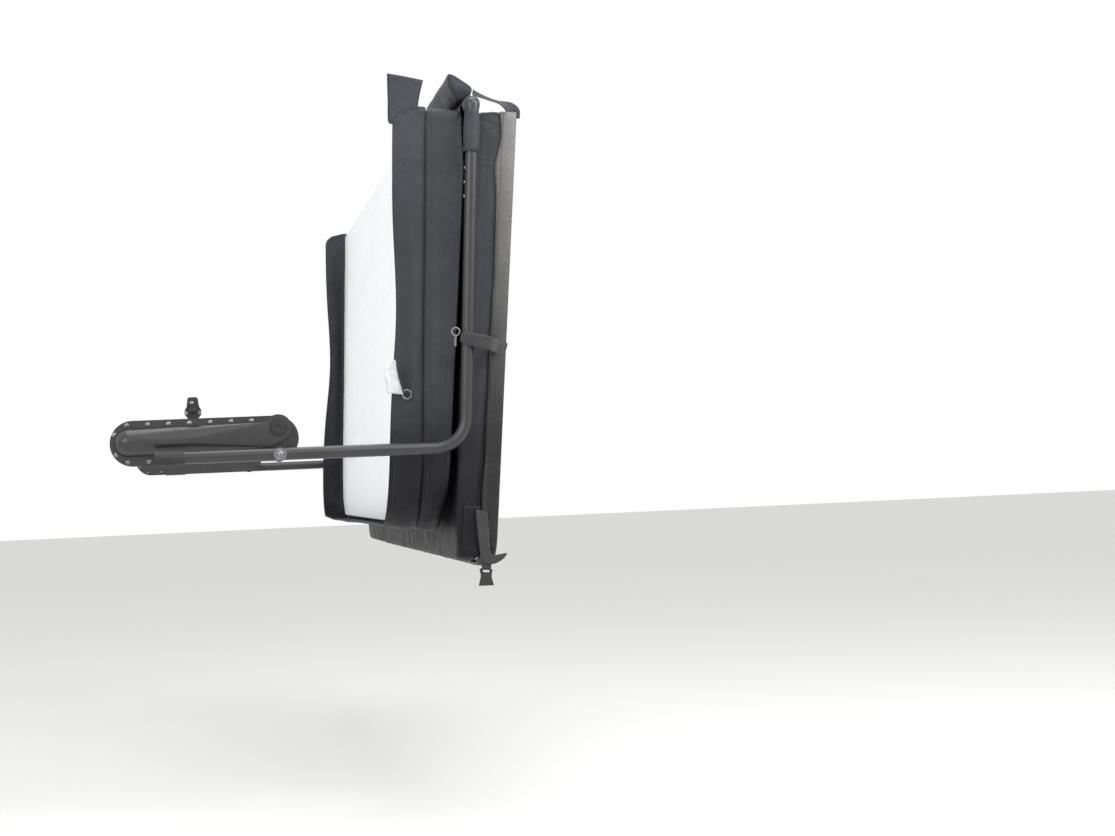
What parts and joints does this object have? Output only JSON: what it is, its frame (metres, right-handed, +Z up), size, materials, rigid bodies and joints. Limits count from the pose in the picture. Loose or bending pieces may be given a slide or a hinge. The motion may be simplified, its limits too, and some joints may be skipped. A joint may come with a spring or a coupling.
{
  "type": "folding spa cover with side-mounted lifter",
  "caption": "Folding padded spa cover with two tapered halves, hung over the cross bar of a gas-assisted side-mounted lifter.",
  "frame": {"origin": "on the lift pivot axis, in the near bracket's mounting face", "axes": "+X away from the tub, +Y along the fold towards the far bracket, +Z up"},
  "size_m": [0.7454, 2.086, 0.9301],
  "materials": {
    "coated_steel": "satin black powder coat",
    "bright_steel": "bright",
    "galvanised_steel": "galvanised",
    "black_plastic": "matte",
    "marine_vinyl": "grained marine vinyl",
    "foil_liner": "woven scrim with a silver-white coating",
    "foam_core": "expanded polystyrene",
    "webbing": "woven polypropylene",
    "tag_fabric": "coated fabric"
  },
  "bodies": {
    "root": {"base_plate_near": "coated_steel", "base_plate_far": "coated_steel", "housing_near": "coated_steel", "housing_far": "coated_steel", "flange_screws": "bright_steel", "pivot_pins": "bright_steel", "pivot_caps": "black_plastic", "spring_anchor_pins": "bright_steel", "strap_keeper_near": "black_plastic", "strap_keeper_far": "black_plastic", "keeper_screws": "bright_steel"},
    "lift_frame": {"crank_near": "coated_steel", "crank_far": "coated_steel", "arm_near": "coated_steel", "arm_far": "coated_steel", "arm_end_sleeves": "black_plastic", "arm_spacers": "coated_steel", "arm_bolts": "bright_steel", "arm_washers": "bright_steel", "adjusting_pins": "bright_steel", "elbow_near": "coated_steel", "elbow_far": "coated_steel", "cross_bar_near": "coated_steel", "cross_bar_far": "coated_steel", "bar_coupler": "galvanised_steel", "elbow_boot_near": "marine_vinyl", "elbow_boot_far": "marine_vinyl"},
    "rear_half": {"rear_foam": "foam_core", "rear_channel": "galvanised_steel", "rear_shell": "marine_vinyl", "rear_liner": "foil_liner", "rear_skirt": "marine_vinyl", "rear_zip": "black_plastic", "overlap_flap": "marine_vinyl", "hinge_vinyl": "marine_vinyl", "hinge_seal": "marine_vinyl", "care_tag": "tag_fabric", "tag_ring": "bright_steel"},
    "front_half": {"front_foam": "foam_core", "front_channel": "galvanised_steel", "front_shell": "marine_vinyl", "front_liner": "foil_liner", "front_skirt": "marine_vinyl", "front_zip": "black_plastic", "bar_strap": "webbing", "bar_strap_hook": "bright_steel", "tie_strap": "webbing"},
    "tie_buckle": {"tie_buckle": "black_plastic"},
    "spring_cylinder_near": {"gas_cylinder_near": "coated_steel"},
    "spring_cylinder_far": {"gas_cylinder_far": "coated_steel"},
    "spring_rod_near": {"gas_rod_near": "bright_steel"},
    "spring_rod_far": {"gas_rod_far": "bright_steel"}
  },
  "joints": [
    {"name": "lift", "type": "hinge", "parent": "root", "child": "lift_frame", "pos_m": [0, 0.975, 0], "axis": [0, -1, 0], "range_deg": [0, 96.5]},
    {"name": "rear_tilt", "type": "hinge", "parent": "lift_frame", "child": "rear_half", "pos_m": [0.36711, 0.975, 0.56685], "axis": [0, -1, 0], "range_deg": [-4, 0]},
    {"name": "fold", "type": "hinge", "parent": "rear_half", "child": "front_half", "pos_m": [0.36711, 0.975, 0.56685], "axis": [0, -1, 0], "range_deg": [0, 183.8], "deforming": ["hinge_vinyl", "hinge_seal"]},
    {"name": "buckle_swing", "type": "hinge", "parent": "front_half", "child": "tie_buckle", "pos_m": [0.36143, -0.0205, -0.26559], "axis": [0, -1, 0], "range_deg": [-20, 20]},
    {"name": "spring_tilt_near", "type": "hinge", "parent": "root", "child": "spring_cylinder_near", "pos_m": [-0.268, -0.0155, -0.022], "axis": [0, -1, 0], "range_deg": [0, 1]},
    {"name": "spring_stroke_near", "type": "slide", "parent": "spring_cylinder_near", "child": "spring_rod_near", "axis": [0.9949, 0, 0.1006], "range_m": [-0.025, 0]},
    {"name": "spring_tilt_far", "type": "hinge", "parent": "root", "child": "spring_cylinder_far", "pos_m": [-0.268, 1.9655, -0.022], "axis": [0, -1, 0], "range_deg": [0, 1]},
    {"name": "spring_stroke_far", "type": "slide", "parent": "spring_cylinder_far", "child": "spring_rod_far", "axis": [0.9949, 0, 0.1006], "range_m": [-0.025, 0]}
  ],
  "couplings": [
    {"joint": "rear_tilt", "follows": "lift", "ratio": -0.03782},
    {"joint": "spring_tilt_near", "follows": "lift", "ratio": 0.003969},
    {"joint": "spring_stroke_near", "follows": "lift", "m_per_rad": -0.007901},
    {"joint": "spring_tilt_far", "follows": "lift", "ratio": 0.003969},
    {"joint": "spring_stroke_far", "follows": "lift", "m_per_rad": -0.007901}
  ]
}
